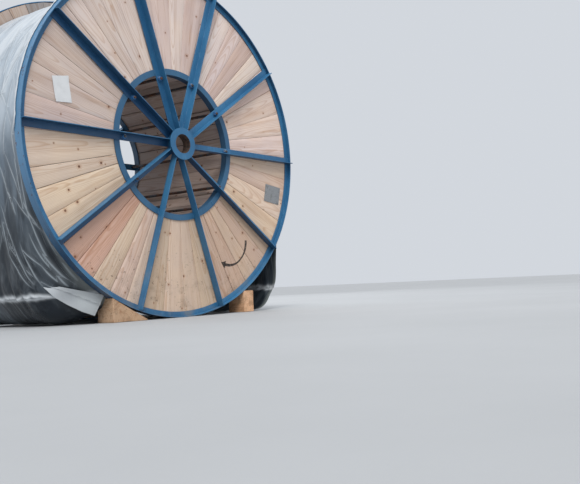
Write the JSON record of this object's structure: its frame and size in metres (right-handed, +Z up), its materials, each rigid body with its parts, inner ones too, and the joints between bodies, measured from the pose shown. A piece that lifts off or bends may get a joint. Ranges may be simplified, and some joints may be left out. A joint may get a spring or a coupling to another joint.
{
  "type": "loaded cable drum",
  "caption": "Wooden cable drum with a painted steel frame, radial flange boards, a slatted barrel and tie rods, loaded and film-wrapped, standing on chocks.",
  "frame": {"origin": "on the floor, under the middle of the drum", "axes": "+Z up, +Y along the drum's axis away from the near flange, +X to the right as seen facing the near flange"},
  "size_m": [2, 0.96, 1.9999],
  "materials": {
    "frame_paint": "satin enamel, slightly weathered",
    "flange_board": "sawn pine, bare",
    "barrel_board": "rough sawn, bare",
    "rod_steel": "dark mill finish",
    "cable_jacket": "smooth jacket",
    "wrap_film": "creased translucent film",
    "chock_wood": "rough sawn, bare"
  },
  "bodies": {
    "root": {"rim_near": "frame_paint", "inner_ring_near": "frame_paint", "hub_near": "frame_paint", "spoke_near_01": "frame_paint", "boards_near_01": "flange_board", "spoke_near_02": "frame_paint", "boards_near_02": "flange_board", "spoke_near_03": "frame_paint", "boards_near_03": "flange_board", "spoke_near_04": "frame_paint", "boards_near_04": "flange_board", "spoke_near_05": "frame_paint", "boards_near_05": "flange_board", "spoke_near_06": "frame_paint", "boards_near_06": "flange_board", "spoke_near_07": "frame_paint", "boards_near_07": "flange_board", "spoke_near_08": "frame_paint", "boards_near_08": "flange_board", "spoke_near_09": "frame_paint", "boards_near_09": "flange_board", "spoke_near_10": "frame_paint", "boards_near_10": "flange_board", "chock_near_left": "chock_wood", "chock_near_right": "chock_wood", "rim_far": "frame_paint", "inner_ring_far": "frame_paint", "hub_far": "frame_paint", "spoke_far_01": "frame_paint", "boards_far_01": "flange_board", "spoke_far_02": "frame_paint", "boards_far_02": "flange_board", "spoke_far_03": "frame_paint", "boards_far_03": "flange_board", "spoke_far_04": "frame_paint", "boards_far_04": "flange_board", "spoke_far_05": "frame_paint", "boards_far_05": "flange_board", "spoke_far_06": "frame_paint", "boards_far_06": "flange_board", "spoke_far_07": "frame_paint", "boards_far_07": "flange_board", "spoke_far_08": "frame_paint", "boards_far_08": "flange_board", "spoke_far_09": "frame_paint", "boards_far_09": "flange_board", "spoke_far_10": "frame_paint", "boards_far_10": "flange_board", "chock_far_left": "chock_wood", "chock_far_right": "chock_wood", "barrel_staves": "barrel_board", "tie_rods": "rod_steel", "cable_winding": "cable_jacket", "film_wrap": "wrap_film"}
  },
  "joints": []
}
